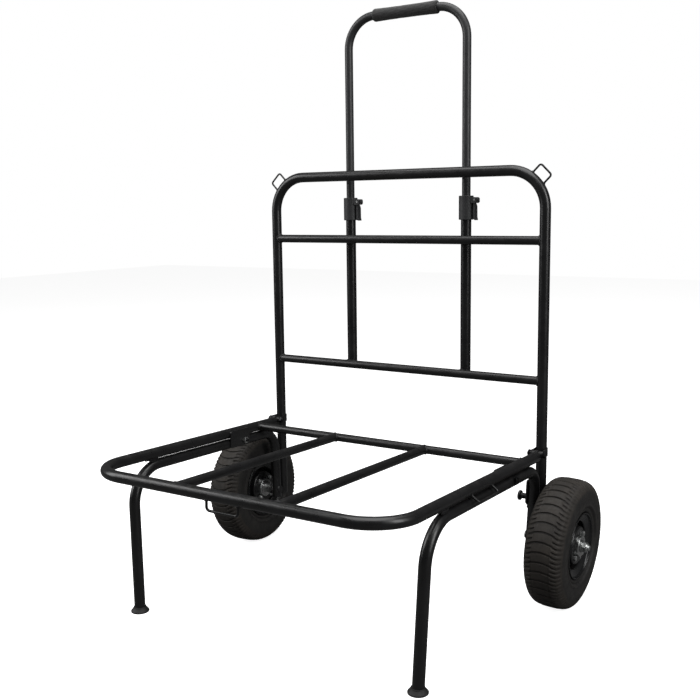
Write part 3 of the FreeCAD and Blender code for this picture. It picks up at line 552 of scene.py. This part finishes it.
def weld_corner_loops(shape):
    """Beads round the loops' feet, half way round the top rail's bends."""
    bend_outside = BACK_BEND + TUBE
    foot_reach = math.sqrt(bend_outside ** 2 - CORNER_LOOP_HALF ** 2) + 0.0003
    for side in SIDES.values():
        outward = Vector((side, 0, 1)).normalized()
        level = Vector((side, 0, -1)).normalized()
        bend_centre = Vector((side * (HALF_WIDTH - BACK_BEND), BACK, TOP_RAIL - BACK_BEND))
        for end in (-1, 1):
            foot = bend_centre + level * end * CORNER_LOOP_HALF + outward * foot_reach
            wire_bead(shape, foot, outward, CORNER_WIRE + 0.0004)


def weld_hinge_straps(shape):
    """Beads over the back of each post, above and below its strap."""
    pivot = Vector(JOINTS["back_fold"]["pos_m"])
    strap_half = size("hinge_straps").z / 2
    for side in SIDES.values():
        for end in (-1, 1):
            post = Vector((side * HALF_WIDTH, BACK, pivot.z + end * strap_half))
            path = []
            for i in range(13):
                angle = math.pi * (i / 12 - 0.5) * 1.1
                path.append(post + (Y * math.cos(angle) + X * math.sin(angle)) * (TUBE + 0.0006))
            bead(shape, path, PLATE_WELD, closed=False)


def weld_deck(shape):
    for side in SIDES.values():
        saddle_bead(shape, Vector((side * HALF_WIDTH, RAIL.y, RAIL.z)), X * -side, FORWARD, BAR, TUBE)
    for low, high in solids("deck_bars"):
        x = (low.x + high.x) / 2
        saddle_bead(shape, on_deck(x, deck_place(RAIL.y)), FORWARD, X, BAR, BAR)
        saddle_bead(shape, on_deck(x, DECK_LENGTH), -FORWARD, X, BAR, TUBE)


def weld_rail_saddles(shape):
    """Beads along both edges of each saddle, on the rail and on the leg's run."""
    reach = math.sqrt(TUBE ** 2 - SADDLE_HALF ** 2)
    for low, high in solids("rail_saddles"):
        centre = (low + high) / 2
        for end in (-1, 1):
            for drop in (-reach, -LEG_DROP + reach):
                spot = on_deck(centre.x + end * SADDLE_HALF, deck_place(centre.y), drop)
                along_bead(shape, spot, (high.y - low.y) / 2)


def weld_brackets(shape):
    for low, high in solids("frame_brackets"):
        side = 1 if low.x > 0 else -1
        centre = (low + high) / 2
        for up in (BRACKET_WELD_UP, -LEG_DROP + BRACKET_WELD_UP):
            spot = on_deck(side * (HALF_WIDTH - TUBE + 0.0008), deck_place(centre.y), up)
            along_bead(shape, spot, (high.y - low.y) / 2 - BRACKET_CORNER, BRACKET_WELD)


def weld_lock_plate(shape):
    leg = leg_frame(SIDES["right"])
    for end in (-1, 1):
        spot = Vector((-TUBE - 0.0001, -LEG_REAR + end * LOCK_WELD_SIDE, 0))
        line_bead(shape, leg @ (spot - Z * LOCK_WELD_TOP), leg @ (spot - Z * LOCK_WELD_FOOT), PLATE_WELD)


def weld_axles(shape):
    """Paint over each axle's inner end, and beads on both sides of the leg's tube."""
    for name, side in SIDES.items():
        hub = wheel_frame(name, side)
        low, high = own_solid("axles", hub)
        radius = (high.z - low.z) / 2 + 0.0004
        lathed(shape, [(low.x - 0.0008, radius - 0.0022), (low.x - 0.0006, radius - 0.0006),
                       (low.x, radius), (low.x + 0.008, radius)], hub)
        crossing = hub @ Vector((low.x + AXLE_TO_LEG, 0, 0))
        along = hub.to_3x3() @ X
        upright = leg_frame(side).to_3x3() @ Z
        saddle_bead(shape, crossing, -along, upright, radius, TUBE)
        saddle_bead(shape, crossing, along, upright, AXLE_SPACER, TUBE)


def weld_deck_loops(shape):
    for low, high in solids("deck_loops"):
        centre = (low + high) / 2
        if abs(centre.x) < HALF_WIDTH / 2:
            for end in (-1, 1):
                foot = on_deck(end * ((high.x - low.x) / 2 - LOOP_WIRE), DECK_LENGTH, -TUBE)
                wire_bead(shape, foot, UPWARD, LOOP_WIRE + 0.0004)
            continue
        side = 1 if centre.x > 0 else -1
        outward = DECK @ Matrix.Rotation(side * SIDE_LOOP_TILT, 4, "Y") @ (X * side)
        for end in (-1, 1):
            back = deck_place(centre.y) + end * ((high.y - low.y) / 2 - LOOP_WIRE - 0.0002)
            foot = on_deck(side * HALF_WIDTH, back) + outward * (TUBE + 0.0002)
            wire_bead(shape, foot, outward, LOOP_WIRE + 0.0004)


def weld_hinge_lugs(shape):
    for side in SIDES.values():
        for end in (-1, 1):
            spot = on_deck(side * HALF_WIDTH + end * LUG_WELD_SIDE, DECK_END)
            line_bead(shape, spot - UPWARD * LUG_WELD_HALF, spot + UPWARD * LUG_WELD_HALF)


def make_welds(name, body, makers):
    shape = Shape()
    for make in makers:
        make(shape)
    piece(name, shape, "frame_paint", body, sharp=80)


# ---------------------------------------------------------------- fasteners

def hex_reach(across, angle):
    """Radius of a hexagon at an angle, from its width across flats."""
    turned = (angle + math.pi / 6) % (math.pi / 3) - math.pi / 6
    return across / 2 / math.cos(turned)


def hex_rows(across, height, bore, chamfer_foot=False):
    """Rings of a chamfered hexagon along +X from 0 to height, with the edges of its bore if it has one."""
    count = 72
    flat = 0.47 * across
    slope = math.tan(math.radians(30))

    def rise(angle):
        return slope * max(0, hex_reach(across, angle) - flat)

    angles = [TURN * i / count for i in range(count)]

    def rim(place):
        row = []
        for angle in angles:
            x, radius = place(angle)
            row.append(Vector((x, radius * math.cos(angle), radius * math.sin(angle))))
        return row

    rows = [rim(lambda a: (0, bore))] if bore else []
    rows.append(rim(lambda a: (0, flat)))
    rows.append(rim(lambda a: (rise(a) if chamfer_foot else 0.00001, hex_reach(across, a))))
    rows.append(rim(lambda a: (height - rise(a), hex_reach(across, a))))
    rows.append(rim(lambda a: (height, flat)))
    if bore:
        rows.append(rim(lambda a: (height, bore)))
    return rows


def add_hex(shape, at, side, across, height, bore=0.0, turn=0.0, foot=False, local=Matrix()):
    """A bolt head or nut on a face at a point of a local frame, growing towards side along its X."""
    matrix = local @ Matrix.Translation(at) @ facing(side) @ Matrix.Rotation(turn, 4, "X")
    rows = moved(hex_rows(across, height, bore, chamfer_foot=foot), matrix)
    if bore:
        shape.grid(rows, wrap=True)
    else:
        shape.solid(rows)


def add_thread(shape, at, side, radius, length, pitch, local=Matrix()):
    """Threaded end growing towards side along X, with a chamfered tip."""
    count = 24
    per_turn = 6
    steps = max(6, round(length / pitch * per_turn))
    depth = pitch * 0.5
    rows = []
    for step in range(steps + 1):
        along = step / steps * length
        row = []
        for i in range(count):
            wave = abs(((along / pitch - i / count) % 1) * 2 - 1)
            reach = radius - depth * (1 - wave)
            reach = min(reach, radius - depth * 1.1 + (length - along))
            angle = TURN * i / count
            row.append(Vector((along, reach * math.cos(angle), reach * math.sin(angle))))
        rows.append(row)
    shape.solid(moved(rows, local @ Matrix.Translation(at) @ facing(side)))


def add_rod(shape, at, side, radius, length, local=Matrix()):
    lathed(shape, [(0, radius), (length, radius)], local @ Matrix.Translation(at) @ facing(side), 32)


M12_RADIUS = 0.006
M12_PITCH = 0.00175
M12_NUT_ACROSS = 0.019
M8_RADIUS = 0.004
M8_PITCH = 0.00125
M8_ACROSS = 0.013
M8_HEAD = 0.0053
M6_RADIUS = 0.003
M6_PITCH = 0.001
M6_ACROSS = 0.01
M6_HEAD = 0.004
M6_NUT = 0.006
THREAD_LENGTH = 0.012


def axle_ends():
    """Axles with threaded ends, and their lock nuts with a rounded collar."""
    rods = Shape()
    nuts = Shape()
    for name, side in SIDES.items():
        hub = wheel_frame(name, side)
        low, high = own_solid("axles", hub)
        nut_low, nut_high = own_solid("axle_nuts", hub)
        shoulder = nut_low.x - 0.0026
        add_rod(rods, (low.x, 0, 0), 1, (high.z - low.z) / 2, shoulder - low.x, hub)
        add_thread(rods, (shoulder, 0, 0), 1, M12_RADIUS, high.x - shoulder, M12_PITCH, hub)
        height = nut_high.x - nut_low.x
        body = height * 0.74
        add_hex(nuts, (nut_low.x, 0, 0), 1, M12_NUT_ACROSS, body, M12_RADIUS + 0.0001, 0.3, True, hub)
        collar = [(body - 0.0003, 0.0062), (body - 0.0003, 0.0086), (body + 0.0013, 0.0085),
                  (height - 0.0006, 0.0077), (height - 0.0001, 0.0071), (height - 0.0002, 0.0064)]
        lathed(nuts, collar, hub @ Matrix.Translation((nut_low.x, 0, 0)), 48, closed=True)
    piece("axle_rods", rods, "zinc_plate", "chassis", ["axles"], sharp=40)
    piece("axle_lock_nuts", nuts, "zinc_plate", "chassis", ["axle_nuts"], sharp=25)


def wheel_bolts(name, side):
    """Rim bolts with chamfered heads and threaded ends, and their nuts."""
    bolts = Shape()
    nuts = Shape()
    hub = wheel_frame(name, side)
    nut_face = max(high.x for low, high in solids(f"{name}_rim_nuts", hub))
    for number, (low, high) in enumerate(solids(f"{name}_rim_bolts", hub)):
        y, z = ((low + high) / 2).yz
        turn = 0.4 + 1.1 * number
        seat = high.x - M6_HEAD
        thread = low.x + THREAD_LENGTH
        add_hex(bolts, (seat, y, z), 1, M6_ACROSS, M6_HEAD, turn=turn, local=hub)
        add_rod(bolts, (thread, y, z), 1, M6_RADIUS, seat - thread, hub)
        add_thread(bolts, (thread, y, z), -1, M6_RADIUS, THREAD_LENGTH, M6_PITCH, hub)
        add_hex(nuts, (nut_face, y, z), -1, M6_ACROSS, M6_NUT, M6_RADIUS, turn, True, hub)
    body = f"{name}_wheel"
    piece(f"{name}_rim_bolt_set", bolts, "zinc_plate", body, [f"{name}_rim_bolts"], sharp=25)
    piece(f"{name}_rim_nut_set", nuts, "zinc_plate", body, [f"{name}_rim_nuts"], sharp=25)


def frame_bolts(bolt_node, nut_node, bolt_slot, nut_slot, body):
    """M8 bolts along X with chamfered heads outside, and threads and nuts inside."""
    bolts = Shape()
    nuts = Shape()
    for (low, high), (nut_low, nut_high) in zip(solids(bolt_node), solids(nut_node)):
        side = 1 if low.x > 0 else -1
        centre = (low + high) / 2
        tip = low.x if side > 0 else high.x
        top = high.x if side > 0 else low.x
        seat = top - side * M8_HEAD
        turn = draw.uniform(0, 1)
        add_hex(bolts, (seat, centre.y, centre.z), side, M8_ACROSS, M8_HEAD, turn=turn)
        shank = abs(seat - tip) - THREAD_LENGTH
        thread = (seat - side * shank, centre.y, centre.z)
        add_rod(bolts, thread, side, M8_RADIUS, shank)
        add_thread(bolts, thread, -side, M8_RADIUS, THREAD_LENGTH, M8_PITCH)
        nut_face = nut_high.x if side > 0 else nut_low.x
        height = nut_high.x - nut_low.x
        add_hex(nuts, (nut_face, centre.y, centre.z), -side, M8_ACROSS, height, M8_RADIUS, turn + 0.4, True)
    piece(f"{bolt_node}_made", bolts, bolt_slot, body, [bolt_node], sharp=25)
    piece(f"{nut_node}_made", nuts, nut_slot, body, [nut_node], sharp=25)


# ---------------------------------------------------------------- tyres

LUGS = 42
TYRE_RADIUS = 130
# Half of the outer section, as (out from the middle, radius) in millimetres: the bead in the rim,
# a ridge beside the rim, a groove, the raised ring of the sidewall, the sidewall and the tread.
SECTION = [(20.5, 51.4), (24, 51.7), (26.2, 58.5), (28.6, 66.2),
           (32, 67.7), (35.2, 69.2), (36.7, 71.8),
           (36.1, 74.2), (35.4, 76), (36.8, 77.9),
           (39.4, 79.8), (40.3, 82.4), (39.5, 85.2),
           (39.8, 91), (40.3, 98), (39.9, 106), (38.4, 113), (35.7, 119.4), (32.2, 123.8),
           (27.4, 126.8), (21.6, 128.7), (15, 129.6), (8, 129.95), (0, TYRE_RADIUS)]
# Half of the cavity's section.
CAVITY = [(19.5, 64), (33, 84), (33.3, 104), (26, 119), (0, 121.5)]
# Shares of one lug's pitch where the mesh has a line: at the edges of the grooves and between them.
MARKS = [0.0, 0.045, 0.1, 0.15, 0.2, 0.245, 0.31, 0.38, 0.45,
         0.5, 0.545, 0.6, 0.66, 0.74, 0.79, 0.86, 0.93]
ARCH_DEPTH = 2.6
NOTCH_DEPTH = 2.4
SHOULDER_DEPTH = 1.4
RIB_DEPTH = 1.2
# Where the arches end and the notches start, out from the middle.
ARCH_END = 21
NOTCH_END = 30
# Between these radii the grooves grow from nothing to their full depth.
TREAD_START = 108
TREAD_FULL = 113
# The grooves curve by this share of a lug's pitch between the middle and this distance out.
BOW = 0.42
BOW_END = 32.5


def blend_step(value, low, high):
    t = min(1.0, max(0.0, (value - low) / (high - low)))
    return t * t * (3 - 2 * t)


def band(value, low, high, soft):
    """1 inside low..high, falling to 0 over soft outside it."""
    return blend_step(value, low - soft, low) * (1 - blend_step(value, high, high + soft))


def tread_depth(across, phase):
    """Depth of the tread's grooves in millimetres, at a distance across and a share of one lug's pitch."""
    out = abs(across)
    half = phase % 0.5
    crossing = band(phase, 0.0, 0.15, 0.05) + band(phase, 1.0, 1.15, 0.05)
    arch = ARCH_DEPTH * crossing * band(out, -1, ARCH_END, 2)
    notch = NOTCH_DEPTH * band(half, 0.06, 0.22, 0.05) * band(out, ARCH_END, NOTCH_END, 1.5)
    shoulder = SHOULDER_DEPTH * band(half, 0.02, 0.2, 0.05) * band(out, 32.5, 36.5, 1.5)
    rib = RIB_DEPTH * band(out, 17.5, 18.8, 0.9)
    return max(arch, notch, shoulder, rib)


def make_tyre(name, side):
    """Tyre with an open cavity, its outside cut by the tread's grooves."""
    hub = wheel_frame(name, side)
    low, high = solids(f"{name}_tyre", hub)[0]
    scale = (high.z - low.z) / 2 / TYRE_RADIUS
    half = smooth_line(SECTION, 3)
    outline = half[:-1] + [Vector((-point.x, point.y)) for point in reversed(half)]
    core = Vector((0, 110))
    shape = Shape()
    rows = []
    groove = []
    tread = []

    def add_row(point, inward, on_tread, bow):
        row = []
        for lug in range(LUGS):
            for mark in MARKS:
                depth = tread_depth(point.x, mark) * on_tread
                spot = (point + inward * depth) * scale
                angle = TURN * (lug + mark + bow) / LUGS
                row.append(hub @ Vector((spot.x, spot.y * math.cos(angle), spot.y * math.sin(angle))))
                groove.append(min(depth / 3, 1.0))
                tread.append(on_tread)
        rows.append(row)

    for i, point in enumerate(outline):
        before = outline[max(i - 1, 0)]
        after = outline[min(i + 1, len(outline) - 1)]
        along = (after - before).normalized()
        inward = Vector((along.y, -along.x))
        if inward.dot(core - point) < 0:
            inward = -inward
        bow = BOW * (min(abs(point.x), BOW_END) / BOW_END) ** 1.7
        add_row(point, inward, blend_step(point.y, TREAD_START, TREAD_FULL), bow)
    inside = [Vector((-x, r)) for x, r in CAVITY] + [Vector((x, r)) for x, r in reversed(CAVITY[:-1])]
    for point in inside:
        add_row(point, Vector((0, 0)), 0.0, 0.0)
    shape.grid(rows, wrap=True)
    # groove holds the grooves' depth, which the tyre's look uses for painted shade; tread marks where the dust
    # lies.
    shape.values = {"groove": groove, "tread": tread}
    piece(f"{name}_tyre_tread", shape, "tyre_rubber", f"{name}_wheel", [f"{name}_tyre"], sharp=42)


# ---------------------------------------------------------------- grip

GRIP_ROUND = 0.0034
GRIP_WAIST = 0.0009


def foam_dent(x, angle):
    """Slow unevenness of hand-worn foam: a few waves round and along the grip, in metres."""
    broad = math.sin(3 * angle + 46 * x) * math.sin(83 * x + 1.3) + math.sin(5 * angle - 130 * x)
    return 0.00022 * broad + 0.00012 * math.sin(9 * angle + 310 * x)


def make_grip():
    """Foam grip: slightly waisted, rolled ends, gently uneven."""
    low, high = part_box("handle_grip")
    centre = (low + high) / 2
    half = (high.x - low.x) / 2
    radius = (high.z - low.z) / 2
    bore = BAR + 0.0001
    rolled_end = [(-half + 0.0007, bore), (-half, bore + 0.0016), (-half + 0.0002, radius - 0.0026),
                  (-half + 0.0014, radius - 0.0007), (-half + GRIP_ROUND, radius)]
    profile = list(rolled_end)
    steps = 60
    ends = half - GRIP_ROUND
    for i in range(1, steps):
        x = -ends + 2 * ends * i / steps
        profile.append((x, radius - GRIP_WAIST * (1 - (x / ends) ** 2) ** 0.8))
    profile += [(-x, r) for x, r in reversed(rolled_end)]
    count = 96
    rows = []
    for x, reach in profile:
        row = []
        for i in range(count):
            angle = TURN * i / count
            wobble = foam_dent(x, angle) * blend_step(reach, bore + 0.002, radius - 0.002)
            r = reach - abs(wobble)
            row.append(centre + Vector((x, r * math.cos(angle), r * math.sin(angle))))
        rows.append(row)
    shape = Shape()
    shape.grid(rows, wrap=True)
    grip = piece("grip_foam_sleeve", shape, "grip_foam", "handle", ["handle_grip"], sharp=60)


# ---------------------------------------------------------------- camera, lights and floor

def for_camera(tree, other, seen):
    """A number that is one thing for rays from the camera and another for all other rays."""
    path = tree.nodes.new("ShaderNodeLightPath")
    pick = tree.nodes.new("ShaderNodeMapRange")
    pick.inputs["To Min"].default_value = other
    pick.inputs["To Max"].default_value = seen
    tree.links.new(path.outputs["Is Camera Ray"], pick.inputs["Value"])
    return pick.outputs["Result"]


WORLD_LIGHT = 0.07
FLOOR_GLOW = 0.88
FLOOR_REACH = 9.0
FLOOR_DIM = (0.12, 0.12, 0.12)


def make_stage():
    """Pale floor and world that look bright to the camera but throw little light on the cart."""
    floor = bpy.data.meshes.new("floor")
    corners = [(-1, -1), (1, -1), (1, 1), (-1, 1)]
    floor.from_pydata([(FLOOR_REACH * x, FLOOR_REACH * y, 0) for x, y in corners], [], [(0, 1, 2, 3)])
    look = Look("floor_pale", Specular_IOR_Level=0.1)
    pale = look.mix(look.noise(3, 3), (0.86, 0.86, 0.86), (0.9, 0.9, 0.9))
    colour = look.mix(for_camera(look.tree, 0.0, 1.0), FLOOR_DIM, pale)
    look.shader.inputs["Emission Color"].default_value = (1, 1, 1, 1)
    look.join(for_camera(look.tree, 0.0, FLOOR_GLOW), look.shader.inputs["Emission Strength"])
    floor.materials.append(look.finish(colour, 0.85, look.bump(look.noise(400, 2), 0.0001, 0.1)))
    thing = bpy.data.objects.new("floor", floor)
    bpy.context.scene.collection.objects.link(thing)

    world = bpy.data.worlds.new("studio")
    bpy.context.scene.world = world
    world.use_nodes = True
    background = world.node_tree.nodes["Background"]
    strength = for_camera(world.node_tree, WORLD_LIGHT, 1.0)
    world.node_tree.links.new(strength, background.inputs["Strength"])
    background.inputs["Color"].default_value = (1, 1, 1, 1)


def add_light(name, at, towards, width, height, power):
    data = bpy.data.lights.new(name, "AREA")
    data.shape = "RECTANGLE"
    data.size = width
    data.size_y = height
    data.energy = power
    thing = bpy.data.objects.new(name, data)
    bpy.context.scene.collection.objects.link(thing)
    direction = Vector(towards) - Vector(at)
    thing.matrix_world = Matrix.Translation(at) @ direction.to_track_quat("-Z", "Y").to_matrix().to_4x4()


YAW = math.radians(32.834)
TILT = math.radians(-8.384)
ROLL = math.radians(-0.728)
EYE = Vector((1.043673, BACK - 1.821492, 0.799213))
LENS_MM = 49.5108
SENSOR_MM = 36


def make_camera():
    forward = Vector((-math.sin(YAW) * math.cos(TILT), math.cos(YAW) * math.cos(TILT), math.sin(TILT)))
    right = forward.cross(Z).normalized()
    up = right.cross(forward)
    across = right * math.cos(ROLL) + up * math.sin(ROLL)
    above = up * math.cos(ROLL) - right * math.sin(ROLL)
    data = bpy.data.cameras.new("camera")
    data.sensor_width = SENSOR_MM
    data.lens = LENS_MM
    data.clip_end = 60
    camera = bpy.data.objects.new("camera", data)
    bpy.context.scene.collection.objects.link(camera)
    camera.matrix_world = Matrix((
        (across.x, above.x, -forward.x, EYE.x),
        (across.y, above.y, -forward.y, EYE.y),
        (across.z, above.z, -forward.z, EYE.z),
        (0, 0, 0, 1)))
    bpy.context.scene.camera = camera


make_welds("back_welds", "back", (weld_crossbars, weld_sleeve_spacers, weld_corner_loops, weld_hinge_straps))
make_welds("chassis_welds", "chassis", (weld_deck, weld_rail_saddles, weld_brackets, weld_lock_plate,
                                        weld_axles, weld_deck_loops, weld_hinge_lugs))
axle_ends()
for name, side in SIDES.items():
    wheel_bolts(name, side)
    make_tyre(name, side)
frame_bolts("bracket_bolts", "bracket_nuts", "black_oxide", "zinc_plate", "chassis")
frame_bolts("pivot_bolts", "pivot_nuts", "black_oxide", "black_oxide", "back")
make_grip()
make_stage()
add_light("top_softbox", (0.2, -0.3, 3.4), (0, 0, 0.4), 3.2, 3.2, 110)
add_light("left_softbox", (-2.8, -1.6, 2.0), (0, 0, 0.5), 1.6, 2.4, 60)
add_light("right_softbox", (2.9, -0.4, 1.7), (0, 0, 0.4), 1.2, 2.2, 45)
make_camera()
bpy.context.scene.view_settings.view_transform = "Standard"
